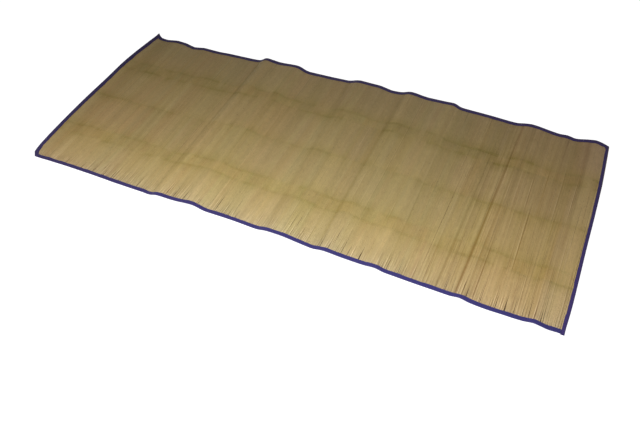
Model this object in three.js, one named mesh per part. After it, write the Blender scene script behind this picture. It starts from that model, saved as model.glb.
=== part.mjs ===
// Straw beach mat, laid open on the ground after being stored folded in panels.
// Millimetres, +Z up. X runs along the mat, Y across it from the near long edge to the far one.
// The group ends up centred over the origin, with its lowest faces at Z 0.
import * as THREE from 'three';

// ---- Driving dimensions ----
const MAT_LENGTH = 1800;
const MAT_WIDTH = 757;
const STRAW_THICKNESS = 2;
const TAPE_THICKNESS = 1;
// How far the folded tape reaches over the straw, above and below, on each side of the mat.
const TAPE_LAPS = { right: 10, far: 15, left: 16.5, near: 12 };
const CLEARANCE = 0.35;    // between the straw panel and the tape around it
const TAIL_LENGTH = 1.5;   // loose end of the tape past the near right corner
const COLUMN_STEP = 30;    // longest stretch between two columns of points across the mat
const COLUMN_CLIMB = 5;    // greatest difference in height between two such columns
const END_BOW_REACH = 120; // how far in from an end the straws follow that end's bow
const SETTLE_REACH = 30;   // the panel drops from the tape to the ground over this distance
const SHARPEST_MITRE = 0.45; // sine that limits how far a mitred inset reaches at a pointed corner

// Sections across the mat, from the left end. Each fold of the stored mat leaves a ridge or step.
// nearShift and farShift move the long edges along Y, nearUp and farUp lift them off the ground.
const SECTIONS = [
  { x: 0, nearShift: 3, farShift: 12, nearUp: 0, farUp: 9 },
  { x: 34, nearShift: 3, farShift: -6, nearUp: 0, farUp: 2.5 },
  { x: 66, nearShift: 4, farShift: -6, nearUp: 0, farUp: 0 },
  { x: 120, nearShift: 5, farShift: 3, nearUp: 0, farUp: 0 },
  { x: 165, nearShift: 6, farShift: 0, nearUp: 0, farUp: 0 },
  { x: 212, nearShift: 6, farShift: -11, nearUp: 0, farUp: 0 },
  { x: 250, nearShift: 6, farShift: -2, nearUp: 0, farUp: 0 },
  { x: 325, nearShift: 5, farShift: -3, nearUp: 0, farUp: 0 },
  { x: 365, nearShift: 4, farShift: 0, nearUp: 0, farUp: 0 },
  { x: 480, nearShift: 4, farShift: 2, nearUp: 0, farUp: 1 },
  { x: 502, nearShift: 3, farShift: 3, nearUp: 0, farUp: 2 },
  { x: 536, nearShift: 5, farShift: 4, nearUp: 8, farUp: 20 },
  { x: 590, nearShift: 7, farShift: 3, nearUp: 6, farUp: 15 },
  { x: 665, nearShift: 9, farShift: 6, nearUp: 13, farUp: 17 },
  { x: 712, nearShift: 10, farShift: 7, nearUp: 0, farUp: 0 },
  { x: 800, nearShift: 11, farShift: 8, nearUp: 0, farUp: 0 },
  { x: 870, nearShift: 9, farShift: 10, nearUp: 0, farUp: 0 },
  { x: 897, nearShift: 8, farShift: 9, nearUp: 1, farUp: 9 },
  { x: 923, nearShift: 8, farShift: 7, nearUp: 8, farUp: 17 },
  { x: 972, nearShift: 7, farShift: 5, nearUp: 11, farUp: 17 },
  { x: 1003, nearShift: 7, farShift: 5, nearUp: 8, farUp: 16 },
  { x: 1045, nearShift: 7, farShift: 4, nearUp: 2, farUp: 8 },
  { x: 1078, nearShift: 6, farShift: 5, nearUp: 0, farUp: 9 },
  { x: 1117, nearShift: 6, farShift: 6, nearUp: 8, farUp: 21 },
  { x: 1180, nearShift: 6, farShift: 4, nearUp: 4, farUp: 15 },
  { x: 1240, nearShift: 5, farShift: 5, nearUp: 5, farUp: 15 },
  { x: 1275, nearShift: 5, farShift: 5, nearUp: 10, farUp: 17 },
  { x: 1302, nearShift: 5, farShift: 4, nearUp: 2, farUp: 6 },
  { x: 1400, nearShift: 4, farShift: 2, nearUp: 0, farUp: 4 },
  { x: 1495, nearShift: 3, farShift: 1, nearUp: 0, farUp: 0 },
  { x: 1520, nearShift: 2, farShift: 1, nearUp: 8, farUp: 6 },
  { x: 1545, nearShift: 0, farShift: 1, nearUp: 3, farUp: 10 },
  { x: 1600, nearShift: -1, farShift: -1, nearUp: 0, farUp: 4 },
  { x: 1640, nearShift: 0, farShift: -2, nearUp: 0, farUp: 0 },
  { x: 1662, nearShift: 0, farShift: 0, nearUp: 0, farUp: 0 },
  { x: 1692, nearShift: 1, farShift: -6, nearUp: 0, farUp: 0 },
  { x: 1718, nearShift: 1, farShift: -2, nearUp: 8, farUp: 2 },
  { x: 1757, nearShift: 0, farShift: 2, nearUp: 1, farUp: 6 },
  { x: 1780, nearShift: 1, farShift: -3, nearUp: 1, farUp: 5 },
  { x: 1800, nearShift: 1, farShift: -12, nearUp: 1, farUp: 5 },
];

// Bow of the two short ends, positive towards +X, against the distance from the near edge.
const END_BOWS = [
  { y: 0, left: 34, right: -2 },
  { y: 15, left: 15, right: -2 },
  { y: 70, left: 6, right: 0 },
  { y: 190, left: 0, right: 1 },
  { y: 310, left: -2, right: 1 },
  { y: 430, left: 0, right: 2 },
  { y: 570, left: 2, right: 1 },
  { y: 650, left: 10, right: -2 },
  { y: 757, left: 25, right: -6 },
];

const TAPE_HEIGHT = STRAW_THICKNESS + 2 * (TAPE_THICKNESS + CLEARANCE);
const PANEL_INSET = TAPE_THICKNESS + CLEARANCE;
const LAP_END = Math.max(...Object.values(TAPE_LAPS)) + PANEL_INSET;
const SETTLED = LAP_END + SETTLE_REACH;

const straw = new THREE.MeshStandardMaterial({ color: 0xb39a64, roughness: 0.62, metalness: 0 });
const violetTape = new THREE.MeshStandardMaterial({ color: 0x3a3080, roughness: 0.85, metalness: 0 });

// ---- The shape in which the mat lies ----
// Slope of a column from one row of a table to the next.
const slopeAfter = (table, key, i, column) =>
  (table[i + 1][column] - table[i][column]) / (table[i + 1][key] - table[i][key]);

// Slope at a row: level at a crest or a trough, and between its neighbours' elsewhere.
function slopeAt(table, key, i, column) {
  if (i === 0) return slopeAfter(table, key, 0, column);
  if (i === table.length - 1) return slopeAfter(table, key, i - 1, column);
  const before = slopeAfter(table, key, i - 1, column);
  const after = slopeAfter(table, key, i, column);
  return before * after <= 0 ? 0 : (2 * before * after) / (before + after);
}

// Value of a column at a place, on a smooth curve through the rows that never overshoots them.
function lookUp(table, key, at, column) {
  const last = table.length - 1;
  const held = THREE.MathUtils.clamp(at, table[0][key], table[last][key]);
  const i = Math.min(last - 1, table.findLastIndex((row) => row[key] <= held));
  const span = table[i + 1][key] - table[i][key];
  const t = (held - table[i][key]) / span;
  const blend = t * t * (3 - 2 * t);
  return table[i][column] * (1 - blend) + table[i + 1][column] * blend
    + slopeAt(table, key, i, column) * span * t * (1 - t) ** 2
    - slopeAt(table, key, i + 1, column) * span * t * t * (1 - t);
}

const nearEdge = (x) => lookUp(SECTIONS, 'x', x, 'nearShift');
const farEdge = (x) => MAT_WIDTH + lookUp(SECTIONS, 'x', x, 'farShift');

// Place on the ground under a point of the mat: x along it, and a share of the way across it.
// Near its ends the straws follow the ends' bow.
function planPoint(x, share) {
  const y = nearEdge(x) + share * (farEdge(x) - nearEdge(x));
  const leftPull = Math.max(0, 1 - x / END_BOW_REACH) * lookUp(END_BOWS, 'y', y, 'left');
  const rightPull = Math.max(0, 1 - (MAT_LENGTH - x) / END_BOW_REACH) * lookUp(END_BOWS, 'y', y, 'right');
  return new THREE.Vector2(x + leftPull + rightPull, y);
}

// Which straw passes over a place on the ground: its distance along the mat before the ends bowed.
function strawOver({ x, y }) {
  const left = lookUp(END_BOWS, 'y', y, 'left');
  const right = lookUp(END_BOWS, 'y', y, 'right');
  if (x < END_BOW_REACH) return (x - left) / (1 - left / END_BOW_REACH);
  if (x < MAT_LENGTH - END_BOW_REACH) return x;
  return MAT_LENGTH - (MAT_LENGTH + right - x) / (1 + right / END_BOW_REACH);
}

// Height of the tape's underside over the ground. The straws are straight, so it is ruled across.
function rise(place) {
  const x = strawOver(place);
  const near = lookUp(SECTIONS, 'x', x, 'nearUp');
  const far = lookUp(SECTIONS, 'x', x, 'farUp');
  return Math.max(0, near + ((far - near) * place.y) / MAT_WIDTH);
}

// The panel lies on the tape's lower lap at the rim and on the ground further in.
function panelUnderside(point, fromRim) {
  const t = THREE.MathUtils.clamp((fromRim - LAP_END) / SETTLE_REACH, 0, 1);
  return rise(point) + PANEL_INSET * (1 - THREE.MathUtils.smoothstep(t, 0, 1));
}

// ---- Stations along the mat and across it ----
function columnPlaces() {
  const places = [SECTIONS[0].x];
  for (let i = 1; i < SECTIONS.length; i += 1) {
    const [low, high] = [SECTIONS[i - 1], SECTIONS[i]];
    const climb = Math.max(Math.abs(high.nearUp - low.nearUp), Math.abs(high.farUp - low.farUp));
    const parts = Math.ceil(Math.max((high.x - low.x) / COLUMN_STEP, climb / COLUMN_CLIMB));
    for (let k = 1; k <= parts; k += 1) places.push(low.x + ((high.x - low.x) * k) / parts);
  }
  return places;
}

const columns = columnPlaces();
const rows = [
  0, LAP_END, SETTLED, ...END_BOWS.slice(2, -1).map((bow) => bow.y),
  MAT_WIDTH - SETTLED, MAT_WIDTH - LAP_END, MAT_WIDTH,
];
const shares = rows.map((y) => y / MAT_WIDTH);
const lastColumn = columns.length - 1;
const lastRow = rows.length - 1;

// The outline runs counter-clockwise from the near right corner: right, far, left and near side.
const outline = [
  ...shares.slice(0, -1).map((share) => planPoint(MAT_LENGTH, share)),
  ...columns.slice(1).reverse().map((x) => planPoint(x, 1)),
  ...shares.slice(1).reverse().map((share) => planPoint(0, share)),
  ...columns.slice(0, -1).map((x) => planPoint(x, 0)),
];

// Direction into the mat at each outline point, long enough for a mitred inset of 1.
const inward = outline.map((point, i) => {
  const before = point.clone().sub(outline.at(i - 1)).normalize();
  const after = outline[(i + 1) % outline.length].clone().sub(point).normalize();
  const bisector = new THREE.Vector2(-before.y - after.y, before.x + after.x).normalize();
  const sine = bisector.dot(new THREE.Vector2(-after.y, after.x));
  return bisector.divideScalar(Math.max(SHARPEST_MITRE, sine));
});

const insetPoint = (i, distance) => outline[i].clone().addScaledVector(inward[i], distance);

// ---- Solids ----
function meshFrom(name, points, triangles, material) {
  const geometry = new THREE.BufferGeometry().setFromPoints(points);
  geometry.setIndex(triangles.flat());
  geometry.computeVertexNormals();
  const mesh = new THREE.Mesh(geometry, material);
  mesh.name = name;
  return mesh;
}

const quad = (a, b, c, d) => [[a, b, c], [a, c, d]];

// Plan of the straw panel: its rim is the outline drawn in, the rest lies along the straws.
function panelPoint(column, row) {
  if (column === lastColumn && row < lastRow) return insetPoint(row, PANEL_INSET);
  if (row === lastRow && column > 0) return insetPoint(lastRow + lastColumn - column, PANEL_INSET);
  if (column === 0 && row > 0) return insetPoint(2 * lastRow + lastColumn - row, PANEL_INSET);
  if (row === 0) return insetPoint(2 * lastRow + lastColumn + column, PANEL_INSET);
  return planPoint(columns[column], shares[row]);
}

function strawPanel() {
  const perSide = columns.length * rows.length;
  const undersides = [];
  const tops = [];
  for (let column = 0; column <= lastColumn; column += 1) {
    for (let row = 0; row <= lastRow; row += 1) {
      const point = panelPoint(column, row);
      const alongRim = Math.min(columns[column], MAT_LENGTH - columns[column]);
      const acrossRim = Math.min(rows[row], MAT_WIDTH - rows[row]);
      const z = panelUnderside(point, Math.min(alongRim, acrossRim));
      undersides.push(new THREE.Vector3(point.x, point.y, z));
      tops.push(new THREE.Vector3(point.x, point.y, z + STRAW_THICKNESS));
    }
  }
  const under = (column, row) => column * rows.length + row;
  const top = (column, row) => perSide + under(column, row);
  const triangles = [];
  for (let c = 0; c < lastColumn; c += 1) {
    for (let r = 0; r < lastRow; r += 1) {
      triangles.push(...quad(top(c, r), top(c + 1, r), top(c + 1, r + 1), top(c, r + 1)));
      triangles.push(...quad(under(c, r), under(c, r + 1), under(c + 1, r + 1), under(c + 1, r)));
    }
    triangles.push(...quad(under(c, 0), under(c + 1, 0), top(c + 1, 0), top(c, 0)));
    triangles.push(...quad(under(c + 1, lastRow), under(c, lastRow), top(c, lastRow), top(c + 1, lastRow)));
  }
  for (let r = 0; r < lastRow; r += 1) {
    triangles.push(...quad(under(0, r + 1), under(0, r), top(0, r), top(0, r + 1)));
    const [low, high] = [under(lastColumn, r), under(lastColumn, r + 1)];
    triangles.push(...quad(low, high, high + perSide, low + perSide));
  }
  return meshFrom('straw_panel', [...undersides, ...tops], triangles, straw);
}

// The folded tape's section where it laps over the straw by that much:
// distance in from the outline, height over its underside.
const tapeSection = (lap) => [
  { inset: 0, up: 0 },
  { inset: lap, up: 0 },
  { inset: lap, up: TAPE_THICKNESS },
  { inset: TAPE_THICKNESS, up: TAPE_THICKNESS },
  { inset: TAPE_THICKNESS, up: TAPE_HEIGHT - TAPE_THICKNESS },
  { inset: lap, up: TAPE_HEIGHT - TAPE_THICKNESS },
  { inset: lap, up: TAPE_HEIGHT },
  { inset: 0, up: TAPE_HEIGHT },
];

// Laps at a side's outline points. Its first corner takes the mean with the side before it.
const lapsAlong = (lap, lapBefore, points) => [(lap + lapBefore) / 2, ...Array(points - 1).fill(lap)];
const laps = [
  ...lapsAlong(TAPE_LAPS.right, TAPE_LAPS.right, lastRow),
  ...lapsAlong(TAPE_LAPS.far, TAPE_LAPS.right, lastColumn),
  ...lapsAlong(TAPE_LAPS.left, TAPE_LAPS.far, lastRow),
  ...lapsAlong(TAPE_LAPS.near, TAPE_LAPS.left, lastColumn),
];

// One length of tape: it starts as a short tail past the near right corner, runs round the mat
// and stops against its own start.
function edgeBinding() {
  const corner = outline[0];
  const tail = {
    lap: TAPE_LAPS.right,
    at: (inset) => new THREE.Vector2(corner.x - inset, corner.y - TAIL_LENGTH),
  };
  const stop = {
    lap: TAPE_LAPS.near,
    at: (inset) => new THREE.Vector2(corner.x - TAPE_LAPS.right - CLEARANCE, corner.y + inset),
  };
  const between = laps.map((lap, i) => ({ lap, at: (inset) => insetPoint(i, inset) })).slice(1);
  const stations = [tail, ...between, stop];
  const points = stations.flatMap(({ lap, at }) => tapeSection(lap).map(({ inset, up }) => {
    const place = at(inset);
    return new THREE.Vector3(place.x, place.y, rise(place) + up);
  }));
  const size = tapeSection(0).length;
  const triangles = [];
  for (let s = 0; s + 1 < stations.length; s += 1) {
    for (let k = 0; k < size; k += 1) {
      const [a, b] = [s * size + k, s * size + ((k + 1) % size)];
      triangles.push(...quad(a, b, b + size, a + size));
    }
  }
  const contour = tapeSection(TAPE_LAPS.right).map(({ inset, up }) => new THREE.Vector2(inset, up));
  const lastStation = (stations.length - 1) * size;
  for (const [a, b, c] of THREE.ShapeUtils.triangulateShape(contour, [])) {
    triangles.push([a, c, b]);
    triangles.push([lastStation + a, lastStation + b, lastStation + c]);
  }
  return meshFrom('edge_binding', points, triangles, violetTape);
}

// ---- Assembly, centred over the origin ----
const group = new THREE.Group();
group.add(strawPanel(), edgeBinding());
const box = new THREE.Box3().setFromObject(group);
const centre = box.getCenter(new THREE.Vector3());
group.position.set(-centre.x, -centre.y, -box.min.z);

export default group;
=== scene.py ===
# Straw beach mat: its single straws, the threads that hold them, and the sewn tape round its edge,
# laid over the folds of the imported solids. Metres, +Z up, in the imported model's frame.
import math

import bpy
import numpy as np
from mathutils import Matrix, Vector
from mathutils.bvhtree import BVHTree

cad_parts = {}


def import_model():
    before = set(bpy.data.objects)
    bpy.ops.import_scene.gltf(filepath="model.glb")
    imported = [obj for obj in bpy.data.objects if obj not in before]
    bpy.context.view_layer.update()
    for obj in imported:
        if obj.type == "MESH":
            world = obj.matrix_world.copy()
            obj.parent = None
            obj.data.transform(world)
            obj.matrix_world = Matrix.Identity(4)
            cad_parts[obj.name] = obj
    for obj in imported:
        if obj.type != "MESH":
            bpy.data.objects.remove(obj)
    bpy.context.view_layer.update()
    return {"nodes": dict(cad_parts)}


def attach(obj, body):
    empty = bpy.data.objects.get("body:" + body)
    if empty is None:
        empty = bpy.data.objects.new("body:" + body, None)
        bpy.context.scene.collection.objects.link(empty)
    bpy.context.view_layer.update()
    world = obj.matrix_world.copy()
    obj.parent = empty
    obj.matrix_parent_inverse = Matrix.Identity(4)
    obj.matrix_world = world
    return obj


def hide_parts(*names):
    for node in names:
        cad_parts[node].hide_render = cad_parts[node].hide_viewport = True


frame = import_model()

MM = 0.001
rng = np.random.default_rng(11)

# ---- Sizes of the straw ----
FLAT_WIDTH, FLAT_LENGTH = 0.757, 1.80
PANEL_COUNT = 9                 # panels between the folds of the stored mat
STRAW_COUNT = 721               # so that a straw is about 2.5 mm wide
PITCH_SPREAD = 0.2              # how far a straw's width strays from the mean, as a share
STRAW_HALF_HEIGHT = 0.5 * MM
UPPER_DROP = 0.55 * MM          # the upper straws' middle under the panel's upper face
LOWER_DROP = 1.45 * MM          # the lower straws' middle under the panel's upper face
LOWEST_MIDDLE = 0.55 * MM       # no straw's middle comes closer to the ground than this
END_STATION = 0.003             # a straw's first and last station from the mat's edges, in shares
STATION_GAP = 0.045             # at most, between two stations in a field, in shares
UPPER_SWELL, LOWER_SWELL = 1.12, 1.06   # how much wider the straws are than their share of room
BOW_REACH = 0.12                # how far in from an end the straws follow that end's bow
ONE_EACH = (STRAW_COUNT, 1)     # the shape of one value for each straw

# ---- Sizes of the threads along the mat, with their places as shares of the way across it ----
THREAD_SHARES = (0.199, 0.260, 0.486, 0.714, 0.770)
THREAD_PAIRS = ((0.199, 0.260), (0.714, 0.770))
STAINS = (1.1, 1.15, 1.0, 1.4, 1.3)      # how deep the olive stain round each thread is
THREAD_RADIUS = 0.32 * MM
THREAD_SIDE = 0.011             # stations either side of a thread, in shares
STRAWS_HELD = 2                 # straws that a thread passes over or under at a time
THREAD_OVER, THREAD_UNDER = 0.05 * MM, -2.15 * MM   # its middle, from the panel's upper face
TWIN_SHIFT = 0.3 * MM           # the two threads of a pair lie this far either side of their line

# ---- Sizes of the tape ----
RIGHT_LAP, FAR_LAP, LEFT_LAP, NEAR_LAP = 10 * MM, 15 * MM, 16.5 * MM, 12 * MM
TAPE_OUT = 1.35 * MM            # from the straws' ends to the outside of the folded tape
TAPE_STEP = 1.5 * MM            # longest stretch between two rings of the tape's points
TAIL_LENGTH = 1.5 * MM
STOP_GAP = 0.35 * MM            # between the tape's end and its own start
STITCH_PITCH = 3.6 * MM
STITCH_SHARE = 0.785            # how far in from the fold the seam runs, as a share of the lap
STITCH_RADIUS = 0.24 * MM
STITCH_STATIONS = np.array([0.06, 0.3, 0.7, 0.94])              # along a stitch, in pitches
STITCH_ARCH = np.array([-0.25, 0.12, 0.12, -0.25]) * MM         # its middle's height at each


# ---- Numbers ----
def smoothstep(t):
    t = np.clip(t, 0, 1)
    return t * t * (3 - 2 * t)


def rising(values, start, over):
    """0 up to start, then a soft rise to 1 over that distance."""
    return smoothstep((values - start) / over)


def falling(values, end, over):
    """0 from end on, and before it a soft fall from 1 over that distance."""
    return smoothstep((end - values) / over)


def bell(values, middle, reach):
    return np.exp(-((values - middle) / reach) ** 2)


def smoothed(values, reach):
    """A soft average along the first axis, reach entries wide."""
    half = math.ceil(3 * reach)
    kernel = np.exp(-0.5 * (np.arange(-half, half + 1) / reach) ** 2)
    kernel /= kernel.sum()
    padded = np.concatenate([values[:1].repeat(half, 0), values, values[-1:].repeat(half, 0)])
    return sum(k * padded[i:i + len(values)] for i, k in enumerate(kernel))


def bundled(columns, size):
    """Noise of spread 1 that is the same for all straws of a bundle, about size straws wide."""
    bundle = np.cumsum(rng.random(STRAW_COUNT) < 1 / size)
    return rng.normal(size=(bundle[-1] + 1, columns))[bundle]


def clumped(shape, reach):
    """Noise of spread 1 in which neighbours along the first axis are alike."""
    values = smoothed(rng.normal(size=shape), reach)
    return values / values.std()


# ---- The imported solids' rim and height ----
def rim_of(node):
    """The rim of the CAD panel in plan, counter-clockwise from its near right corner."""
    mesh = frame["nodes"][node].data
    beside = {}
    for face in mesh.polygons:
        if abs(face.normal.z) > 0.01:
            continue
        ends = {tuple(round(c, 6) for c in mesh.vertices[v].co[:2]) for v in face.vertices}
        if len(ends) == 2:
            a, b = ends
            beside.setdefault(a, set()).add(b)
            beside.setdefault(b, set()).add(a)
    loop = [max(beside, key=lambda p: p[0] - p[1])]
    loop.append(max(beside[loop[0]], key=lambda p: p[1]))
    while True:
        following = next(p for p in beside[loop[-1]] if p != loop[-2])
        if following == loop[0]:
            return np.array(loop)
        loop.append(following)


RIM = rim_of("straw_panel")
FAR_RIGHT, FAR_LEFT, NEAR_LEFT = (int(np.argmax(RIM @ way)) for way in ((1, 1), (-1, 1), (-1, -1)))
RIGHT_SIDE = RIM[:FAR_RIGHT + 1]
FAR_SIDE = RIM[FAR_RIGHT:FAR_LEFT + 1][::-1]
LEFT_SIDE = RIM[FAR_LEFT:NEAR_LEFT + 1][::-1]
NEAR_SIDE = np.vstack([RIM[NEAR_LEFT:], RIM[:1]])
LEFT_END = float(np.interp(0, LEFT_SIDE[:, 1], LEFT_SIDE[:, 0]))
RIGHT_END = float(np.interp(0, RIGHT_SIDE[:, 1], RIGHT_SIDE[:, 0]))


def tree_of(node):
    """A CAD solid made ready for rays."""
    mesh = frame["nodes"][node].data
    return BVHTree.FromPolygons([v.co for v in mesh.vertices], [f.vertices for f in mesh.polygons])


def height(tree, x, y, start, way):
    """Height at which a vertical ray meets the CAD solid, or that of the nearest point beside it."""
    out = np.empty(x.shape)
    for i in np.ndindex(x.shape):
        hit = tree.ray_cast(Vector((x[i], y[i], start)), Vector((0, 0, way)))[0]
        if hit is None:
            hit = tree.find_nearest(Vector((x[i], y[i], 0)))[0]
        out[i] = hit.z
    return out


def top_of(tree, x, y):
    return height(tree, x, y, 1.0, -1)


def underside_of(tree, x, y):
    return height(tree, x, y, -1.0, 1)


def pulls(base, y):
    """How far the bowed ends pull a straw along X at each place across the mat."""
    left = np.interp(y, LEFT_SIDE[:, 1], LEFT_SIDE[:, 0]) - LEFT_END
    right = np.interp(y, RIGHT_SIDE[:, 1], RIGHT_SIDE[:, 0]) - RIGHT_END
    return (left * np.maximum(0, 1 - (base - LEFT_END) / BOW_REACH)
            + right * np.maximum(0, 1 - (RIGHT_END - base) / BOW_REACH))


def plan(base, across):
    """Plan places of straws, with their X before they bow, at shares of the way across the mat."""
    near_x = base + pulls(base, np.full_like(base, LEFT_SIDE[0, 1]))
    far_x = base + pulls(base, np.full_like(base, LEFT_SIDE[-1, 1]))
    near = np.interp(near_x, NEAR_SIDE[:, 0], NEAR_SIDE[:, 1])
    far = np.interp(far_x, FAR_SIDE[:, 0], FAR_SIDE[:, 1])
    y = near + across * (far - near)
    return base + pulls(base, y), y


# ---- Meshes of many tubes ----
def tube_map(count, stations, size, fold, columns):
    """Places in the map of every corner of the tubes' faces, with u round a tube and v along it.
    Each tube is cut into as many strips as fold says, and they fill a grid with that many columns."""
    steps = stations - 1
    strip = np.arange(steps) * fold // steps
    first = np.searchsorted(strip, strip)
    length = np.bincount(strip)[strip]
    cell = np.arange(count)[:, None] * fold + strip
    rows = math.ceil(count * fold / columns)
    left = ((cell % columns)[..., None] + np.arange(size) / size) / columns
    right = left + 1 / (size * columns)
    low, high = ((cell // columns + (np.arange(steps) + k - first) / length) / rows for k in (0, 1))
    low, high = (np.broadcast_to(v[..., None], left.shape) for v in (low, high))
    sides = np.stack([left, low, left, high, right, high, right, low], -1)
    starts = np.stack([left[:, 0], low[:, 0]], -1)
    ends = np.stack([left[:, -1, ::-1], high[:, -1, ::-1]], -1)
    return np.concatenate([sides.ravel(), starts.ravel(), ends.ravel()])


def tubes(name, rings, tint=None, numbers=None, fold=1, columns=None):
    """One mesh of closed tubes. rings is (tubes, stations, points, 3), each ring counter-clockwise
    as seen from the tube's start. tint and numbers are attributes of the points."""
    count, stations, size, _ = rings.shape
    ids = np.arange(count * stations * size).reshape(count, stations, size)
    turned = np.roll(ids, -1, axis=2)
    quads = np.stack([ids[:, :-1], ids[:, 1:], turned[:, 1:], turned[:, :-1]], -1).reshape(-1, 4)
    faces = [*quads.tolist(), *ids[:, 0].tolist(), *ids[:, -1, ::-1].tolist()]
    mesh = bpy.data.meshes.new(name)
    mesh.from_pydata(rings.reshape(-1, 3), [], faces)
    for key, values in (numbers or {}).items():
        values = np.broadcast_to(values, (count, stations, size)).astype(np.float32)
        mesh.attributes.new(key, "FLOAT", "POINT").data.foreach_set("value", values.ravel())
    if tint is not None:
        colour = np.ones((count, stations, size, 4), np.float32)
        colour[..., :3] = tint
        mesh.attributes.new("tint", "FLOAT_COLOR", "POINT").data.foreach_set("color", colour.ravel())
    corners = tube_map(count, stations, size, fold, columns or count * fold)
    mesh.uv_layers.new(name="OFBake").data.foreach_set("uv", corners.astype(np.float32))
    mesh.shade_smooth()
    piece = bpy.data.objects.new(name, mesh)
    bpy.context.scene.collection.objects.link(piece)
    return piece


def rings_round(middles, along, half_wide, half_tall, lean, section):
    """Rings of a section's points round middles (tubes, stations, 3), turned by lean about along."""
    side = np.cross(along, (0, 0, 1))
    side = side / np.linalg.norm(side, axis=-1, keepdims=True)
    cos, sin = np.cos(lean)[..., None], np.sin(lean)[..., None]
    wide, tall = cos * side + sin * (0, 0, 1), cos * (0, 0, 1) - sin * side
    return (middles[:, :, None]
            + half_wide[..., None, None] * section[:, :1] * wide[:, :, None]
            + half_tall[..., None, None] * section[:, 1:] * tall[:, :, None])


SQUARE = np.array([(1, 0), (0, 1), (-1, 0), (0, -1)])


def cords(name, middles, radius, **settings):
    """Thin round threads along middles (threads, stations, 3), four-sided."""
    along = np.gradient(middles, axis=1) * (1, 1, 0)
    thick = np.full(middles.shape[:2], radius)
    return tubes(name, rings_round(middles, along, thick, thick, 0 * thick, SQUARE), **settings)


# ---- Where the straws lie ----
def station_shares():
    """Stations along a straw: at and beside each thread, evenly between them, close at the ends."""
    held = [t + d for t in THREAD_SHARES for d in (-THREAD_SIDE, 0, THREAD_SIDE)]
    last = 1 - END_STATION
    near = END_STATION + (held[0] - END_STATION) * np.linspace(0, 1, 8)[:-1] ** 1.4
    far = last - (last - held[-1]) * np.linspace(0, 1, 7)[:-1] ** 1.3
    between = [near, held[-1:], far]
    for a, b in zip(held[:-1], held[1:]):
        between.append(np.linspace(a, b, math.ceil((b - a) / STATION_GAP) + 1)[:-1])
    return np.sort(np.concatenate(between))


SHARES = station_shares()       # the stations of every straw, as shares of the way across the mat
STRAW_PITCH = (RIGHT_END - LEFT_END) / STRAW_COUNT
WIDTHS = 1 + PITCH_SPREAD * np.clip(rng.normal(size=STRAW_COUNT), -2, 2)
WIDTHS *= (RIGHT_END - LEFT_END) / WIDTHS.sum()
BASES = (LEFT_END + np.cumsum(WIDTHS) - WIDTHS / 2)[:, None]        # each straw's X before it bows
FROM_START = (BASES - LEFT_END) * FLAT_LENGTH / (RIGHT_END - LEFT_END)      # metres on the flat mat
# The right part of the mat has worn loose: 0 where the straws lie flat and close, 1 where they don't.
LOOSE = rising(FROM_START, 1.30, 0.16)
WORN = LOOSE * (1.25 - 0.75 * SHARES)       # more so towards the near edge
# The straws' near ends are ruffled in places: 0 where they lie quiet, 1 where they don't.
RUFFLED = smoothstep(0.5 + 0.5 * clumped(ONE_EACH, 9))

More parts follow.
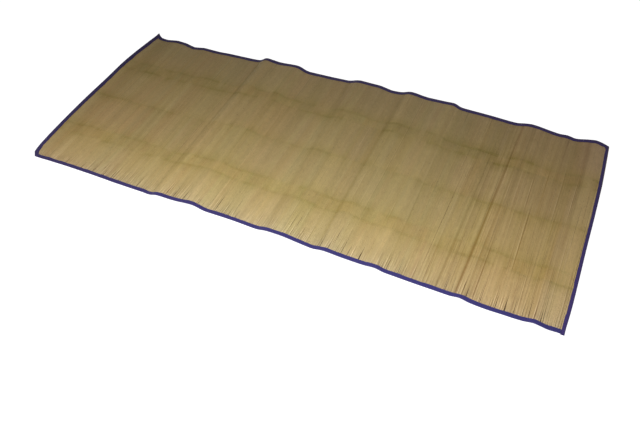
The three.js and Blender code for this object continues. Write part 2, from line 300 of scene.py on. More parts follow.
# Creases across the mat: where they meet its near and far edge and half their width, in
# millimetres from its left end, their depth in millimetres, and the painted light and shade along
# them at the near and at the far edge, as how much lighter the straws are painted there.
CREASES = (
    # near, far, half width, depth, near painted light, far painted light
    (64, 64, 28, 0.0, -0.11, -0.11),
    (95, 90, 13, 0.0, 0.08, -0.04),
    (124, 127, 8, 0.0, -0.04, 0.10),
    (142, 142, 9, 0.0, 0.03, 0.0),
    (158, 158, 8, 0.0, -0.03, 0.07),
    (186, 184, 9, 0.0, 0.05, 0.04),
    (203, 202, 8, 0.0, 0.06, -0.02),
    (250, 236, 9, 0.2, -0.04, -0.02),
    (262, 264, 9, 0.0, -0.07, -0.03),
    (296, 290, 8, 0.0, 0.05, 0.01),
    (365, 361, 6, 0.3, -0.06, 0.0),
    (390, 390, 8, 0.0, 0.07, 0.03),
    (436, 434, 9, 0.0, 0.02, -0.02),
    (469, 465, 8, 0.3, -0.11, -0.05),
    (508, 509, 5, 0.5, -0.10, -0.10),
    (536, 536, 12, 0.0, 0.06, 0.06),
    (576, 580, 9, 0.0, 0.05, 0.04),
    (600, 594, 9, 0.0, -0.04, 0.0),
    (630, 634, 16, 0.0, -0.09, -0.04),
    (643, 641, 11, -0.3, 0.06, 0.06),
    (692, 690, 13, 0.0, 0.07, 0.03),
    (748, 748, 16, 0.0, 0.10, 0.05),
    (866, 866, 10, -0.3, 0.06, 0.06),
    (885, 880, 22, 0.0, 0.06, 0.0),
    (905, 905, 60, 0.0, 0.01, -0.06),
    (923, 881, 9, 0.9, -0.14, -0.01),
    (1042, 1042, 16, 0.0, 0.08, 0.05),
    (1067, 1067, 8, 0.0, 0.06, 0.0),
    (1092, 1090, 7, 0.6, -0.13, -0.13),
    (1110, 1110, 70, 0.0, -0.04, -0.03),
    (1118, 1116, 9, -0.2, -0.01, 0.05),
    (1155, 1155, 9, 0.0, 0.07, -0.03),
    (1184, 1184, 9, 0.0, -0.06, -0.02),
    (1268, 1264, 13, -0.3, 0.06, 0.08),
    (1290, 1291, 8, 0.0, 0.08, 0.20),
    (1325, 1325, 60, 0.0, -0.05, -0.04),
    (1358, 1362, 5, 0.3, -0.05, 0.0),
    (1382, 1382, 7, 0.0, 0.07, 0.07),
    (1400, 1402, 14, 0.0, 0.0, 0.06),
    (1428, 1430, 9, 0.0, 0.0, -0.06),
    (1445, 1445, 45, 0.0, -0.06, -0.06),
    (1450, 1460, 4, 0.6, -0.24, -0.03),
    (1462, 1464, 3, 0.0, 0.08, 0.0),
    (1470, 1471, 4, 0.4, -0.13, -0.04),
    (1492, 1492, 6, 0.0, 0.0, -0.06),
    (1505, 1519, 4, 0.8, -0.52, -0.26),
    (1534, 1541, 2.5, 0.2, -0.20, -0.03),
    (1545, 1560, 5, 0.4, -0.08, -0.01),
    (1562, 1568, 7, 0.0, 0.09, 0.08),
    (1580, 1580, 50, 0.0, 0.02, -0.08),
    (1584, 1586, 12, -0.2, 0.06, 0.12),
    (1593, 1591, 6, 0.0, 0.10, 0.0),
    (1630, 1622, 16, 0.0, 0.01, 0.05),
    (1664, 1668, 8, 0.0, -0.06, -0.12),
    (1698, 1698, 45, 0.0, 0.03, -0.06),
    (1700, 1698, 16, 0.0, -0.09, -0.06),
    (1739, 1737, 7, 0.0, 0.07, -0.24),
    (1760, 1762, 22, 0.0, 0.22, 0.14),
)

# Where neighbouring straws have parted near the near edge: how far from the left end and how wide,
# in millimetres, and where across the mat the gap is widest and how far it reaches, as shares.
PARTED = (
    # along, wide, widest at, reach
    (154, 0.7, 0.02, 0.05), (221, 3.4, 0.0, 0.04), (266, 1.4, 0.02, 0.05), (292, 1.3, 0.06, 0.03),
    (308, 1.1, 0.0, 0.05), (341, 2.3, 0.02, 0.04), (443, 1.8, 0.02, 0.05), (514, 0.8, 0.06, 0.05),
    (564, 1.3, 0.02, 0.05), (587, 2.6, 0.03, 0.03), (622, 2.7, 0.01, 0.05), (677, 1.6, 0.0, 0.05),
    (711, 1.0, 0.05, 0.05), (736, 1.8, 0.06, 0.04), (769, 1.3, 0.0, 0.05), (785, 1.8, 0.0, 0.05),
    (799, 1.3, 0.08, 0.03), (812, 1.4, 0.0, 0.04), (986, 0.9, 0.09, 0.03), (1003, 1.2, 0.09, 0.03),
    (1100, 2.4, 0.0, 0.05), (1125, 2.2, 0.0, 0.04), (1134, 1.2, 0.09, 0.03), (1168, 1.5, 0.02, 0.06),
    (1186, 1.7, 0.02, 0.04), (1221, 4.0, 0.02, 0.035), (1301, 1.9, 0.02, 0.05), (1338, 2.1, 0.01, 0.05),
    (1414, 0.4, 0.09, 0.04), (1474, 1.2, 0.02, 0.05), (1524, 1.2, 0.05, 0.05), (1535, 4.0, 0.0, 0.045),
    (1570, 1.2, 0.04, 0.05), (1612, 1.8, 0.02, 0.05), (1636, 3.4, 0.01, 0.05), (1661, 1.6, 0.02, 0.05),
    (1704, 1.5, 0.03, 0.06), (1739, 2.3, 0.0, 0.05),
)


def crease_effect(lies):
    """Depth of the creases, and the painted light and shade along them, at every station of every
    straw, which lies at that distance from the left end."""
    depth, painted_light = np.zeros((2, STRAW_COUNT, len(SHARES)))
    for near, far, half_width, deep, near_painted_light, far_painted_light in CREASES:
        middle = near + (far - near) * SHARES
        closeness = bell(lies / MM, middle, half_width)
        depth += deep * MM * closeness
        painted_light += (near_painted_light + (far_painted_light - near_painted_light) * SHARES) * closeness
    return depth, painted_light


def drift():
    """Slow sideways wander of neighbouring straws, the same way at once so that none crosses."""
    total = 0
    for wave in (0.31, 0.17, 0.09):         # metres
        for _ in range(2):
            turns, first, second = rng.uniform(0.6, 1.7), rng.random(), rng.random()
            total += (wave * rng.uniform(0.004, 0.008)
                      * np.sin(2 * math.pi * (FROM_START / wave + first))
                      * np.sin(math.pi * (turns * SHARES + second)))
    return total


def moved_aside(cuts, wide, places, reaches):
    """How straws move aside for a gap before each of the straws numbered in cuts, less and less
    towards the next gap. Each gap is widest at its place across the mat and closes within reach."""
    gaps = wide[:, None] * bell(SHARES, places[:, None], reaches[:, None])
    moved = np.zeros((STRAW_COUNT, len(SHARES)))
    for k, (a, b) in enumerate(zip(cuts[:-1], cuts[1:])):
        t = ((np.arange(a, b) - a + 0.5) / (b - a))[:, None]
        moved[a:b] = gaps[k] * (1 - t) / 2 - gaps[k + 1] * t / 2
    return moved


def openings(chance, wide, middle, spread, reach):
    """Gaps that open between straws here and there, with that chance for each pair of them."""
    chance = np.broadcast_to(chance, ONE_EACH)[1:, 0]
    cuts = np.flatnonzero(rng.random(STRAW_COUNT - 1) < chance) + 1
    cuts = np.concatenate([[0], cuts, [STRAW_COUNT]])
    places = middle + spread * rng.uniform(-1, 1, len(cuts))
    reaches = reach * np.clip(rng.lognormal(0, 0.45, len(cuts)), 0.4, 1.8)
    widths = wide * np.clip(rng.lognormal(0, 0.45, len(cuts)), 0.4, 1.6)
    return moved_aside(cuts, widths, places, reaches)


def parted():
    """The gaps of PARTED, between the mat's two ends."""
    ends = (0, 0, 0, 1), (FLAT_LENGTH / MM, 0, 0, 1)
    along, wide, places, reaches = np.array([ends[0], *PARTED, ends[1]]).T
    cuts = np.searchsorted(FROM_START[:, 0] / MM, along)
    return moved_aside(cuts, wide * MM, places, reaches)


def strays():
    """How far each thread strays across the mat, slowly and between the places that hold it, and
    the stations between the threads with them."""
    slow = 3.0 * MM * np.sin(2 * math.pi * (FROM_START - 0.35) / 1.7)
    held = np.zeros((STRAW_COUNT, len(THREAD_SHARES) + 2))
    held[:, 1:-1] = slow + 1.9 * MM * clumped((STRAW_COUNT, len(THREAD_SHARES)), 8)
    return np.stack([np.interp(SHARES, (0, *THREAD_SHARES, 1), row) for row in held])


def stretch(x, z):
    """How much farther from its neighbours a straw lies on a slope than in plan, on its worse side."""
    steps, rises = np.diff(x, axis=0), np.diff(z, axis=0)
    farther = np.hypot(steps, rises) / steps
    return np.maximum(np.concatenate([farther[:1], farther]), np.concatenate([farther, farther[-1:]]))


DRIFT = drift()
STRAW_X, STRAW_Y = plan(BASES, SHARES + strays() / FLAT_WIDTH)
STRAW_X = STRAW_X + DRIFT
DEPTH, CREASE_PAINTED_LIGHT = crease_effect(FROM_START + DRIFT)
# Small gaps: ruffled near ends, loose near ends, far ends, and anywhere in the loose part.
ASIDE = (parted() + openings(0.06 + 0.2 * RUFFLED, 0.6 * MM, 0.0, 0.015, 0.045)
         + openings(0.11 * LOOSE, 0.8 * MM, 0.01, 0.03, 0.05)
         + openings(0.06, 0.5 * MM, 1.0, 0.0, 0.06)
         + openings(0.16 * LOOSE, 0.5 * MM, 0.35, 0.35, 0.14))
PANEL_TREE = tree_of("straw_panel")
TOPS = smoothed(top_of(PANEL_TREE, STRAW_X, STRAW_Y), 2.0) - DEPTH
SLOPES = np.arctan(np.gradient(TOPS, axis=0) / np.gradient(STRAW_X, axis=0))
HALF_WIDTHS = WIDTHS[:, None] / 2 * np.gradient(STRAW_X, axis=0) / np.gradient(BASES, axis=0)
HALF_WIDTHS = HALF_WIDTHS * stretch(STRAW_X, TOPS)


# ---- How the straws are coloured ----
FIELD_COUNT = len(THREAD_SHARES) + 1        # fields between the threads and the mat's two edges
# How red, green and blue follow a straw's shade (painted light and shade too), its lean to pink or to
# green, and its paleness.
SHADE_RGB = (0.86, 1.0, 1.3)
PINK_RGB = (0.009, -0.005, 0.003)
PALE_RGB = (-0.004, 0, 0.020)
# What the stain round a thread, and the strip between the threads of a pair, take from each, and
# what the strip's flecks add.
STAIN_RGB = (0.100, 0.095, 0.170)
STRIP_RGB = (0.01, 0.015, 0.04)
FLECK_RGB = (0.02, -0.02, -0.01)
STAIN_REACH = 0.012                         # in shares of the way across


def painted_glint_lines(chance, strength, places, reaches):
    """Painted highlights: some straws are painted lighter, as if they lay high and caught the light, each
    with painted shade on the one beside it, part of the way.
    """
    lit = np.where(rng.random(ONE_EACH) < chance, strength * rng.uniform(0.5, 1.5, ONE_EACH), 0)
    place, reach = (rng.uniform(*ends, ONE_EACH) for ends in (places, reaches))
    lit = lit * np.exp(-((SHARES - place) / reach) ** 4)
    return lit - np.roll(lit, 1, axis=0)


def by_field(values):
    """Values of the fields between the threads, carried to every station of the straws."""
    return values[:, np.searchsorted(THREAD_SHARES, SHARES)]


def scattered():
    """Each straw's own shade, and patches of straws that end at the threads."""
    stations = (STRAW_COUNT, len(SHARES))
    fields = (STRAW_COUNT, FIELD_COUNT)
    near_end = bell(SHARES, 0, 0.09)
    lively = 1 + 0.6 * WORN + 1.2 * near_end
    shade = (0.012 * (1 + 3 * WORN + 2 * near_end) * rng.normal(size=ONE_EACH)
             + 0.014 * lively * clumped(ONE_EACH, 1.6) + 0.016 * lively * clumped(stations, 1.8)
             + by_field(0.014 * clumped(fields, 3) + 0.012 * clumped(fields, 10))
             + by_field(0.018 * bundled(FIELD_COUNT, 7) + 0.016 * bundled(FIELD_COUNT, 18))
             + 0.010 * clumped(ONE_EACH, 9) + 0.010 * bundled(1, 16)
             + near_end * (0.035 * RUFFLED * clumped(ONE_EACH, 2) + 0.03 * clumped(ONE_EACH, 5)))
    calm = rising(SHARES, 0.5, 0.12) * falling(FROM_START, 0.6, 0.2)
    return shade * (1 - 0.4 * calm)


def painted_glints():
    """Long and short lines of painted highlight and painted shade anywhere, at ruffled near ends and
    in the loose part.
    """
    worse = 1 + rising(FROM_START, 1.51, 0.06)
    return (painted_glint_lines(0.04, 0.09, (0, 1), (0.08, 0.4))
            + painted_glint_lines(0.12, 0.10, (0, 1), (0.012, 0.05))
            + painted_glint_lines(0.1 + 0.4 * RUFFLED, 0.26, (0.0, 0.045), (0.015, 0.06))
            + WORN * worse * painted_glint_lines(0.3, 0.10, (0, 1), (0.03, 0.22)))


def patchy(bundle, clump, wide_bundle):
    """Uneven hue, of single straws and of three kinds of patch within the fields. Each kind is
    given by its strength and by its size in straws."""
    hue = 0.5 * clumped(ONE_EACH, 1.2)
    hue = hue + by_field(bundle[0] * bundled(FIELD_COUNT, bundle[1]))
    hue += by_field(clump[0] * clumped((STRAW_COUNT, FIELD_COUNT), clump[1]))
    hue += by_field(wide_bundle[0] * bundled(FIELD_COUNT, wide_bundle[1]))
    return hue


def slow_hues(glints):
    """How red, green and blue change slowly over the mat, and how pale the painted highlights are."""
    red = (0.035 * rising(FROM_START, 1.42, 0.15) + 0.02 * falling(FROM_START, 0.35, 0.2)
           - 0.03 * bell(FROM_START, 1.12, 0.2)
           - 0.05 * rising(SHARES, 0.82, 0.1) * falling(FROM_START, 0.3, 0.15))
    off_left = rising(FROM_START, 0.2, 0.2)
    green = ((0.07 - 0.02 * LOOSE) * np.exp(-SHARES / 0.08) * off_left
             - 0.04 * bell(SHARES, 0.38, 0.16) * falling(FROM_START, 0.35, 0.2))
    far_right = (0.05 + 0.13 * rising(SHARES, 0.75, 0.1)) * rising(FROM_START, 1.70, 0.05)
    # Blue also rises with the painted highlights, so that they look pale.
    blue = ((0.05 + 0.1 * (1 - LOOSE) * off_left) * np.exp(-SHARES / 0.08)
            + 0.25 * np.exp(-SHARES / 0.035) + 0.07 * rising(SHARES, 0.80, 0.05)
            + 0.10 * rising(SHARES, 0.92, 0.06) - 0.08 * bell(SHARES, 0.23, 0.10)
            - 0.05 * bell(SHARES, 0.47, 0.06) - 0.03 * bell(SHARES, 0.70, 0.06)
            - 0.03 * LOOSE * rising(SHARES, 0.15, 0.2) + 0.03 * rising(FROM_START, 0.8, 0.2)
            - 0.03 * falling(FROM_START, 0.12, 0.06) + far_right + 0.3 * np.maximum(glints, 0))
    return np.stack([red, green, blue], -1)


def stained(factors):
    """The factors with an olive stain round each thread, patchy along it."""
    deeper = 1 + 0.6 * LOOSE * SHARES + 0.3 * falling(FROM_START, 0.4, 0.15)
    for share, depth in zip(THREAD_SHARES, STAINS):
        patches = np.clip(1 + 0.4 * clumped(ONE_EACH, 4) + 0.6 * bundled(1, 22), 0.1, 1.7)
        strength = depth * deeper * bell(SHARES, share, STAIN_REACH) * patches
        factors = factors * (1 - strength[..., None] * STAIN_RGB)
    return factors


def speckled(factors):
    """The factors with a browner strip between the threads of a pair, and reddish flecks in it."""
    for low, high in THREAD_PAIRS:
        strip = rising(SHARES, low, 0.01) * falling(SHARES, high, 0.01)
        flecks = bell(SHARES, (low + high) / 2, 0.014)
        flecks = flecks * np.maximum(clumped(ONE_EACH, 6) + LOOSE, 0) * (1 + 0.5 * LOOSE)
        factors = factors * (1 - strip[..., None] * STRIP_RGB) * (1 + flecks[..., None] * FLECK_RGB)
    return factors


def straw_tints():
    """Factors on red, green and blue at every station: shades, painted light and shade along the
    creases, painted glints, hues, stains and flecks.
    """
    own_shade = scattered()
    glints = painted_glints()
    # Painted light and shade of the creases, plus own shades and painted glints, quieter on creases.
    shade = CREASE_PAINTED_LIGHT + (own_shade + glints) * (1 - np.clip(abs(CREASE_PAINTED_LIGHT) / 0.25, 0, 0.8))
    pink = patchy(bundle=(0.6, 8), clump=(0.6, 12), wide_bundle=(0.7, 22))
    pale = patchy(bundle=(0.7, 9), clump=(0.5, 14), wide_bundle=(0.5, 24))
    pale += 0.6 * clumped(ONE_EACH, 30)
    factors = (1 + shade[..., None] * SHADE_RGB + pink[..., None] * PINK_RGB
               + pale[..., None] * PALE_RGB + slow_hues(glints))
    return speckled(stained(factors))


TINTS = straw_tints()

# A flattened stalk: places round it in half widths and half heights, and how open each lies to the
# light; where it lies closed in, painted shade darkens its colour.
UPPER_SECTION = np.array([
    # across, up, open
    (1.0, -0.05, 0.35), (0.8, 0.62, 0.9), (0.3, 0.95, 1.0), (-0.3, 0.95, 1.0),
    (-0.8, 0.62, 0.9), (-1.0, -0.05, 0.35), (-0.7, -0.75, 0.0), (0.7, -0.75, 0.0),
])
LOWER_SECTION = np.array([
    # across, up, open
    (1.0, 0.05, 0.35), (0.65, 0.8, 0.0), (-0.65, 0.8, 0.0), (-1.0, 0.05, 0.35),
    (-0.55, -0.85, 1.0), (0.55, -0.85, 1.0),
])
# Painted shade: what is left of the colour where a stalk lies closed in, as on the lower straws' upper
# sides.
SHADED = np.array((0.20, 0.15, 0.09))       # what is left of the colour where a stalk lies closed in
THREAD_ROWS = [int(np.argmin(abs(SHARES - t))) for t in THREAD_SHARES]


def ply(name, members, stations, section, x, z, half_widths):
    """One layer of straws as a joined mesh: which straws and stations, and how they are placed."""
    pick = np.ix_(members, stations)
    middles = np.stack([x[pick], STRAW_Y[pick], np.maximum(z[pick], LOWEST_MIDDLE)], -1)
    roll = SLOPES[pick] + rng.normal(0, 0.04, (len(members), 1)) + rng.normal(0, 0.02, x[pick].shape)
    rings = rings_round(middles, np.gradient(middles, axis=1) * (1, 1, 0), half_widths[pick],
                        np.full(x[pick].shape, STRAW_HALF_HEIGHT), roll, section[:, :2])
    # Painted shade on each stalk's closed-in sides.
    painted_shade = SHADED + (1 - SHADED) * section[:, 2:]
    return tubes(name, rings, tint=TINTS[pick][:, :, None] * painted_shade)


def halfway(values):
    """Values between each straw and the next."""
    return (values + np.roll(values, -1, axis=0)) / 2


def straws():
    """The straws of each panel between two folds: an upper and a lower ply, half a straw apart.
    Each upper straw lies a little high or low, its near end more so, and the threads press it down."""
    lift = 0.04 * MM * rng.normal(size=ONE_EACH) * (1 + 2 * WORN)
    lift += 0.14 * MM * rng.normal(size=ONE_EACH) * np.exp(-SHARES / 0.05)
    lift[:, THREAD_ROWS] -= 0.08 * MM
    every = np.arange(len(SHARES))
    few = np.unique(np.concatenate([every[::3], THREAD_ROWS, every[-1:]]))
    pieces = []
    for number, members in enumerate(np.array_split(np.arange(STRAW_COUNT), PANEL_COUNT), 1):
        pieces.append(ply(f"straws_upper_{number}", members, every, UPPER_SECTION,
                          STRAW_X + ASIDE, TOPS - UPPER_DROP + lift, UPPER_SWELL * HALF_WIDTHS))
        members = members[members < STRAW_COUNT - 1]
        pieces.append(ply(f"straws_lower_{number}", members, few, LOWER_SECTION,
                          halfway(STRAW_X), halfway(TOPS) - LOWER_DROP,
                          LOWER_SWELL * halfway(HALF_WIDTHS)))
    return pieces


STRAW_PIECES = straws()


# ---- The threads along the mat ----
def threads():
    """Pairs of threads that pass over and under the straws by turns, opposite ways."""
    paths = []
    leads = np.arange(0, STRAW_COUNT - STRAWS_HELD, STRAWS_HELD)
    for row in THREAD_ROWS:
        for twin in (0, 1):
            over = (np.arange(len(leads)) + twin) % 2 == 0
            x = np.stack([STRAW_X[leads, row] - 0.3 * STRAW_PITCH,
                          STRAW_X[leads + STRAWS_HELD - 1, row] + 0.3 * STRAW_PITCH], -1)
            y = np.repeat(STRAW_Y[leads, row][:, None], 2, 1) + (TWIN_SHIFT if twin else -TWIN_SHIFT)
            z = TOPS[leads, row][:, None] + np.where(over, THREAD_OVER, THREAD_UNDER)[:, None] + 0 * x
            paths.append(np.stack([x, y, np.maximum(z, THREAD_RADIUS)], -1).reshape(-1, 3))
    return cords("warp_threads", np.array(paths), THREAD_RADIUS, fold=8)


THREAD_PIECE = threads()


# ---- The tape ----
def inset(loop, distance):
    """A closed counter-clockwise outline moved inwards at each point, mitred at its corners."""
    before = loop - np.roll(loop, 1, 0)
    after = np.roll(loop, -1, 0) - loop
    before /= np.linalg.norm(before, axis=1, keepdims=True)
    after /= np.linalg.norm(after, axis=1, keepdims=True)
    normal = np.stack([-before[:, 1] - after[:, 1], before[:, 0] + after[:, 0]], 1)
    normal /= np.linalg.norm(normal, axis=1, keepdims=True)
    sine = (normal * np.stack([-after[:, 1], after[:, 0]], 1)).sum(1)
    return loop + normal * (distance / np.maximum(sine, 0.45))[:, None]


def laps():
    """How far the tape reaches in at every point of the rim. A corner has its two sides' mean."""
    corners = (0, FAR_RIGHT, FAR_LEFT, NEAR_LEFT, len(RIM))
    reach = np.empty(len(RIM))
    for start, end, lap in zip(corners, corners[1:], (RIGHT_LAP, FAR_LAP, LEFT_LAP, NEAR_LAP)):
        reach[start:end] = lap
    sides = np.stack([reach, np.roll(reach, 1)])
    sides[1, 0] = RIGHT_LAP         # the tape starts here, so this corner has one side
    return sides.mean(0)


def flowing(points, step, sharp=math.radians(24)):
    """An open line in plan, with what goes along with it, made smooth except at its sharp corners."""
    legs = np.diff(points[:, :2], axis=0)
    size = np.linalg.norm(legs, axis=1)
    heading = np.arctan2(legs[:, 1], legs[:, 0])
    turn = np.abs((np.diff(heading) + math.pi) % (2 * math.pi) - math.pi)
    ahead = np.diff(points, axis=0) / size[:, None]
    into, out = ahead.copy(), ahead.copy()      # slope at the end and at the start of each leg
    for k in np.flatnonzero(turn < sharp):
        mean = (ahead[k] * size[k + 1] + ahead[k + 1] * size[k]) / (size[k] + size[k + 1])
        into[k], out[k + 1] = mean, mean
    pieces = []
    for k in range(len(legs)):
        count = math.ceil(size[k] / step)
        t = np.arange(count)[:, None] / count
        blend = t * t * (3 - 2 * t)
        pieces.append(points[k] * (1 - blend) + points[k + 1] * blend
                      + size[k] * (out[k] * t * (1 - t) ** 2 - into[k] * t * t * (1 - t)))
    return np.vstack([*pieces, points[-1:]])


def tape_lines():
    """The tape's outer and inner edge in plan, from its tail round the mat to its own start."""
    outline = inset(RIM, -TAPE_OUT)
    inner = inset(outline, laps())
    corner = outline[0]
    tail = [corner[0], corner[1] - TAIL_LENGTH, corner[0] - RIGHT_LAP, corner[1] - TAIL_LENGTH]
    stop_x = corner[0] - RIGHT_LAP - STOP_GAP
    stop = [stop_x, corner[1], stop_x, corner[1] + NEAR_LAP]
    both = np.vstack([tail, np.hstack([outline[1:], inner[1:]]), stop])
    both = flowing(both, TAPE_STEP)
    return both[:, :2], both[:, 2:]


OUTER, INNER = tape_lines()
WALKED = np.concatenate([[0], np.cumsum(np.linalg.norm(np.diff(OUTER, axis=0), axis=1))])
REACH = np.linalg.norm(INNER - OUTER, axis=1)
TAPE_TREE = tree_of("edge_binding")


def underside_at(share):
    """Height of the CAD tape's underside at a share of the way in from its outer edge."""
    place = OUTER + (INNER - OUTER) * share
    return smoothed(underside_of(TAPE_TREE, place[:, 0], place[:, 1]), 4)


PROBE_OUT, PROBE_IN = 0.1, 0.9
FLOOR_OUT, FLOOR_IN = underside_at(PROBE_OUT), underside_at(PROBE_IN)
FLOOR_SLOPE = (FLOOR_IN - FLOOR_OUT) / (PROBE_IN - PROBE_OUT)
SEAM_HEIGHT = 4.0               # of the upper lap at the seam, in millimetres

# The folded tape's section: how far in from the fold, as a share of its lap, and how high.
TAPE_SECTION = np.array([
    # in, millimetres up
    (1.0, 0.0), (1.0, 0.65), (0.5, 0.75), (0.16, 0.8), (0.07, 2.1), (0.16, 3.4), (0.5, 3.45),
    (1.0, 3.35), (1.0, 3.95), (0.9, 4.05), (STITCH_SHARE, SEAM_HEIGHT), (0.67, 4.1), (0.4, 4.2),
    (0.14, 4.1), (0.035, 3.55), (0.0, 2.1), (0.035, 0.6), (0.14, 0.05), (0.5, 0.0),
])
ON_TOP = (TAPE_SECTION[:, 1] > 3.9).astype(float)       # 1 at the section's points on its upper side
ON_SEAM = (TAPE_SECTION[:, 0] == STITCH_SHARE).astype(float)


def tape():
    """The tape folded over the straws' ends, its edge a little uneven and puckered by the seam."""
    uneven = 0.03 * clumped(len(OUTER), 8 * MM / TAPE_STEP)[:, None]
    ripple = 0.10 * MM * clumped(len(OUTER), 3.5 * MM / TAPE_STEP)[:, None]
    pucker = 0.3 * MM * (0.5 + 0.5 * np.cos(2 * math.pi * WALKED / STITCH_PITCH))[:, None]
    lap = TAPE_SECTION[:, 0] * (1 + uneven)
    place = OUTER[:, None] + lap[..., None] * (INNER - OUTER)[:, None]
    base = FLOOR_OUT[:, None] + FLOOR_SLOPE[:, None] * (lap - PROBE_OUT)
    z = np.maximum(base, 0) + TAPE_SECTION[:, 1] * MM + ripple * ON_TOP - pucker * ON_SEAM
    ring = np.concatenate([place, z[..., None]], -1)[None]
    round_it = np.stack([TAPE_SECTION[:, 0] * REACH[:, None], TAPE_SECTION[:, 1] * MM + 0 * lap], -1)
    steps = round_it - np.roll(round_it, 1, axis=1)
    girth = np.cumsum(np.linalg.norm(steps, axis=2), axis=1)
    return tubes("binding_tape", ring, numbers={"along": WALKED[None, :, None], "over": girth}, fold=12)


TAPE_PIECE = tape()


def stitches():
    """The seam that holds the tape: short stitches on its upper and lower lap."""
    seam = OUTER + (INNER - OUTER) * STITCH_SHARE
    low = FLOOR_OUT + FLOOR_SLOPE * (STITCH_SHARE - PROBE_OUT)
    count = int(WALKED[-1] / STITCH_PITCH) - 1
    at = (np.arange(count)[:, None] + 1 + STITCH_STATIONS) * STITCH_PITCH
    x, y, z = (np.interp(at, WALKED, values) for values in (*seam.T, low))
    upper = np.stack([x, y, z + SEAM_HEIGHT * MM + STITCH_ARCH], -1)
    lower = np.stack([x, y, np.maximum(z, STITCH_RADIUS)], -1)
    return cords("tape_stitches", np.concatenate([upper, lower]), STITCH_RADIUS, columns=54)


STITCH_PIECE = stitches()


# ---- Materials ----
class Nodes:
    """Short calls for building one material's nodes."""

    def __init__(self, name):
        self.material = bpy.data.materials.new(name)
        self.material.use_nodes = True
        self.tree = self.material.node_tree
        self.shader = self.tree.nodes["Principled BSDF"]

    def put(self, socket, value):
        if isinstance(value, bpy.types.NodeSocket):
            self.tree.links.new(value, socket)
        else:
            socket.default_value = value

    def add(self, kind, inputs=(), **settings):
        node = self.tree.nodes.new(kind)
        for key, value in settings.items():
            setattr(node, key, value)
        for key, value in dict(inputs).items():
            self.put(node.inputs[key], value)
        return node

    def attribute(self, name, output="Fac"):
        return self.add("ShaderNodeAttribute", attribute_name=name).outputs[output]

    def math(self, operation, a, b=0.0):
        return self.add("ShaderNodeMath", {0: a, 1: b}, operation=operation).outputs[0]

    def spread(self, value, size):
        """A noise of 0 to 1 made a factor round 1."""
        return self.add("ShaderNodeMath", {0: value, 1: size, 2: 1 - size / 2},
                        operation="MULTIPLY_ADD").outputs[0]

    def mix(self, share, a, b, blend="MIX"):
        node = self.add("ShaderNodeMix", {0: share, 6: a, 7: b}, data_type="RGBA", blend_type=blend)
        return node.outputs[2]

    def ramp(self, value, stops):
        node = self.add("ShaderNodeValToRGB", {"Fac": value})
        marks = node.color_ramp.elements
        while len(marks) < len(stops):
            marks.new(0.5)
        for mark, (position, colour) in zip(marks, stops):
            mark.position = position
            mark.color = (*colour, 1)
        return node.outputs["Color"]

    def times(self, colour, level):
        return self.add("ShaderNodeVectorMath", {0: colour, "Scale": level}, operation="SCALE").outputs[0]

    def noise(self, vector, per_metre, detail=2.0, roughness=0.5):
        stretched = self.add("ShaderNodeMapping", {"Vector": vector, "Scale": per_metre}).outputs[0]
        inputs = {"Vector": stretched, "Scale": 1.0, "Detail": detail, "Roughness": roughness}
        return self.add("ShaderNodeTexNoise", inputs).outputs["Fac"]

    def place(self):
        return self.add("ShaderNodeTexCoord").outputs["Object"]

    def bump(self, level, strength, distance):
        inputs = {"Height": level, "Strength": strength, "Distance": distance}
        self.put(self.shader.inputs["Normal"], self.add("ShaderNodeBump", inputs).outputs["Normal"])

    def finish(self, colour, **constants):
        self.put(self.shader.inputs["Base Color"], colour)
        for key, value in constants.items():
            self.shader.inputs[key.replace("_", " ")].default_value = value
        return self.material


STRAW_COLOUR, SPECK_COLOUR = (0.49, 0.362, 0.156, 1), (0.20, 0.12, 0.045, 1)
THREAD_COLOURS = (0.34, 0.26, 0.10, 1), (0.48, 0.38, 0.16, 1)
STITCH_COLOURS = (0.035, 0.026, 0.12, 1), (0.09, 0.07, 0.22, 1)
TAPE_PATCH, TAPE_STREAK = (0.045, 0.030, 0.150, 1), (0.07, 0.055, 0.19, 1)
TAPE_GROOVE = (0.014, 0.010, 0.065, 1)
# The tape's colour changes along it: how far along it as a share, and its colour there.
TAPE_COLOURS_ALONG = (
    (0.00, (0.046, 0.025, 0.165)), (0.16, (0.058, 0.034, 0.155)), (0.33, (0.057, 0.041, 0.138)),
    (0.52, (0.031, 0.017, 0.084)), (0.66, (0.022, 0.009, 0.078)), (0.74, (0.020, 0.013, 0.114)),
    (0.85, (0.020, 0.019, 0.135)), (1.00, (0.027, 0.026, 0.178)),
)


def straw_material():
    """Dried rush: fine fibres along each stalk, blotches a few centimetres long, dark specks."""
    n = Nodes("straw")
    place = n.place()
    fibre = n.noise(place, (1500, 16, 60), 3, 0.6)
    blotch = n.noise(place, (150, 70, 40), 2, 0.5)
    speck = n.noise(place, (420, 160, 100), 1, 0.5)
    level = n.math("MULTIPLY", n.spread(fibre, 0.25), n.spread(blotch, 0.22))
    # The tint attribute holds the straws' own colours with painted shade, painted crease light and shade,
    # and painted glints.
    colour = n.mix(1.0, STRAW_COLOUR, n.attribute("tint", "Color"), "MULTIPLY")
    colour = n.times(colour, level)
    spot = n.add("ShaderNodeMapRange", {"Value": speck, "From Min": 0.70, "From Max": 0.78,
                                        "To Min": 0.0, "To Max": 0.6}).outputs[0]
    colour = n.mix(spot, colour, SPECK_COLOUR)
    rough = n.add("ShaderNodeMath", {0: fibre, 1: 0.3, 2: 0.42}, operation="MULTIPLY_ADD").outputs[0]
    n.put(n.shader.inputs["Roughness"], rough)
    n.bump(fibre, 0.35, 0.0003)
    return n.finish(colour, Specular_IOR_Level=0.35)


def thread_material():
    """Undyed cotton, twisted, gone olive."""
    n = Nodes("warp_thread")
    twist = n.noise(n.place(), (900, 900, 900))
    return n.finish(n.mix(twist, *THREAD_COLOURS), Roughness=0.8)


def waves(n, vector, across, per_metre):
    """Soft bands across one direction, that many to the metre."""
    inputs = {"Vector": vector, "Scale": per_metre / 20 * 2 * math.pi, "Distortion": 0.5, "Detail": 1.0}
    return n.add("ShaderNodeTexWave", inputs, bands_direction=across).outputs["Fac"]


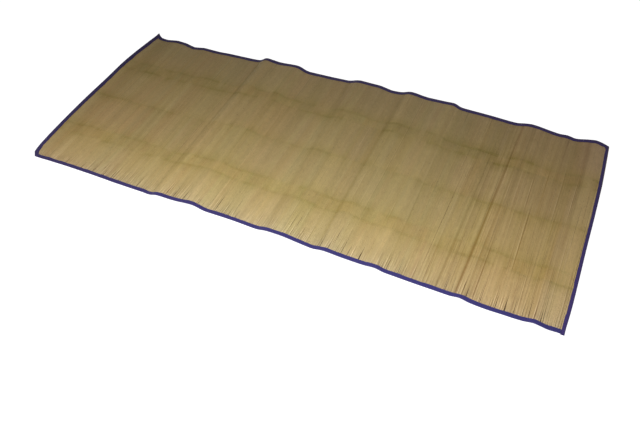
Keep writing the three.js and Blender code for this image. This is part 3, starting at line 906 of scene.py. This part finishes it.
def tape_material():
    """Violet woven tape: a close rib, streaks along the yarns, patches of dye, a slow change of colour
    along it.
    """
    n = Nodes("violet_tape")
    vector = n.add("ShaderNodeCombineXYZ", {0: n.attribute("along"), 1: n.attribute("over")}).outputs[0]
    weave = n.math("MULTIPLY", waves(n, vector, "X", 1000), waves(n, vector, "Y", 1200))
    dye = n.noise(vector, (22, 60, 1))
    streak = n.noise(vector, (90, 700, 1), 3)
    walked = n.math("DIVIDE", n.attribute("along"), float(WALKED[-1]))
    colour = n.mix(n.math("MULTIPLY", dye, 0.5), n.ramp(walked, TAPE_COLOURS_ALONG), TAPE_PATCH)
    colour = n.mix(n.math("MULTIPLY", streak, 0.25), colour, TAPE_STREAK)
    colour = n.mix(n.math("MULTIPLY", weave, 0.4), colour, TAPE_GROOVE)
    n.bump(weave, 0.5, 0.0002)
    return n.finish(colour, Roughness=0.75, Specular_IOR_Level=0.25, Sheen_Weight=0.25,
                    Sheen_Roughness=0.5)


def stitch_material():
    """Violet sewing thread, a little lighter than the tape."""
    n = Nodes("stitch_thread")
    twist = n.noise(n.place(), (1500, 1500, 1500))
    return n.finish(n.mix(twist, *STITCH_COLOURS), Roughness=0.6)


def dress(pieces, material, stands_for=None):
    """Give pieces their material and say what they belong to."""
    for piece in pieces:
        piece.data.materials.append(material)
        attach(piece, "root")
        if stands_for:
            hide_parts(stands_for)


dress(STRAW_PIECES, straw_material(), "straw_panel")
dress([THREAD_PIECE], thread_material())
dress([TAPE_PIECE], tape_material(), "edge_binding")
dress([STITCH_PIECE], stitch_material())


# ---- Floor, light and camera ----
def floor():
    """A wide pale floor that stays white in the picture."""
    reach = 30.0
    mesh = bpy.data.meshes.new("floor")
    mesh.from_pydata([(-reach, -reach, 0), (reach, -reach, 0), (reach, reach, 0), (-reach, reach, 0)],
                     [], [(0, 1, 2, 3)])
    piece = bpy.data.objects.new("floor", mesh)
    bpy.context.scene.collection.objects.link(piece)
    n = Nodes("floor_white")
    mesh.materials.append(n.finish((0.35, 0.35, 0.35, 1), Roughness=1.0, Specular_IOR_Level=0.0,
                                   Emission_Color=(1, 1, 1, 1), Emission_Strength=0.98))


def area_light(name, place, target, size, power):
    """A soft box that lights the mat and doesn't show."""
    data = bpy.data.lights.new(name, "AREA")
    data.shape = "RECTANGLE"
    data.size, data.size_y = size
    data.energy = power
    lamp = bpy.data.objects.new(name, data)
    bpy.context.scene.collection.objects.link(lamp)
    lamp.visible_camera = False
    lamp.location = place
    lamp.rotation_euler = (Vector(target) - Vector(place)).to_track_quat("-Z", "Y").to_euler()


def world():
    """Weak warm light from all round, white where the camera looks past the floor."""
    made = bpy.data.worlds.new("studio")
    bpy.context.scene.world = made
    made.use_nodes = True
    nodes, links = made.node_tree.nodes, made.node_tree.links
    lit = nodes["Background"]
    lit.inputs["Color"].default_value = (1.0, 0.95, 0.90, 1)
    lit.inputs["Strength"].default_value = 0.20
    seen = nodes.new("ShaderNodeBackground")
    seen.inputs["Color"].default_value = (1, 1, 1, 1)
    choice = nodes.new("ShaderNodeMixShader")
    links.new(nodes.new("ShaderNodeLightPath").outputs["Is Camera Ray"], choice.inputs[0])
    links.new(lit.outputs[0], choice.inputs[1])
    links.new(seen.outputs[0], choice.inputs[2])
    links.new(choice.outputs[0], nodes["World Output"].inputs["Surface"])


CAMERA_PLACE = (0.7448, -1.3589, 1.4610)
HEADING, DOWN_TILT, ROLL = 28.33, 49.20, -4.64      # degrees
LENS = 35.61                                        # millimetres, on a sensor 36 mm wide


def camera():
    """Looks down on the mat from beyond its near edge, turned towards the far left."""
    data = bpy.data.cameras.new("camera")
    data.lens, data.sensor_width = LENS, 36
    piece = bpy.data.objects.new("camera", data)
    bpy.context.scene.collection.objects.link(piece)
    turn = (Matrix.Rotation(math.radians(HEADING), 4, "Z")
            @ Matrix.Rotation(math.radians(90 - DOWN_TILT), 4, "X")
            @ Matrix.Rotation(math.radians(ROLL), 4, "Z"))
    piece.matrix_world = Matrix.Translation(CAMERA_PLACE) @ turn
    bpy.context.scene.camera = piece


floor()
world()
area_light("key", place=(-0.127, -0.811, 0.819), target=(-0.088, -0.957, 0), size=(2.02, 0.61),
           power=19.6)
camera()
bpy.context.scene.view_settings.view_transform = "Standard"
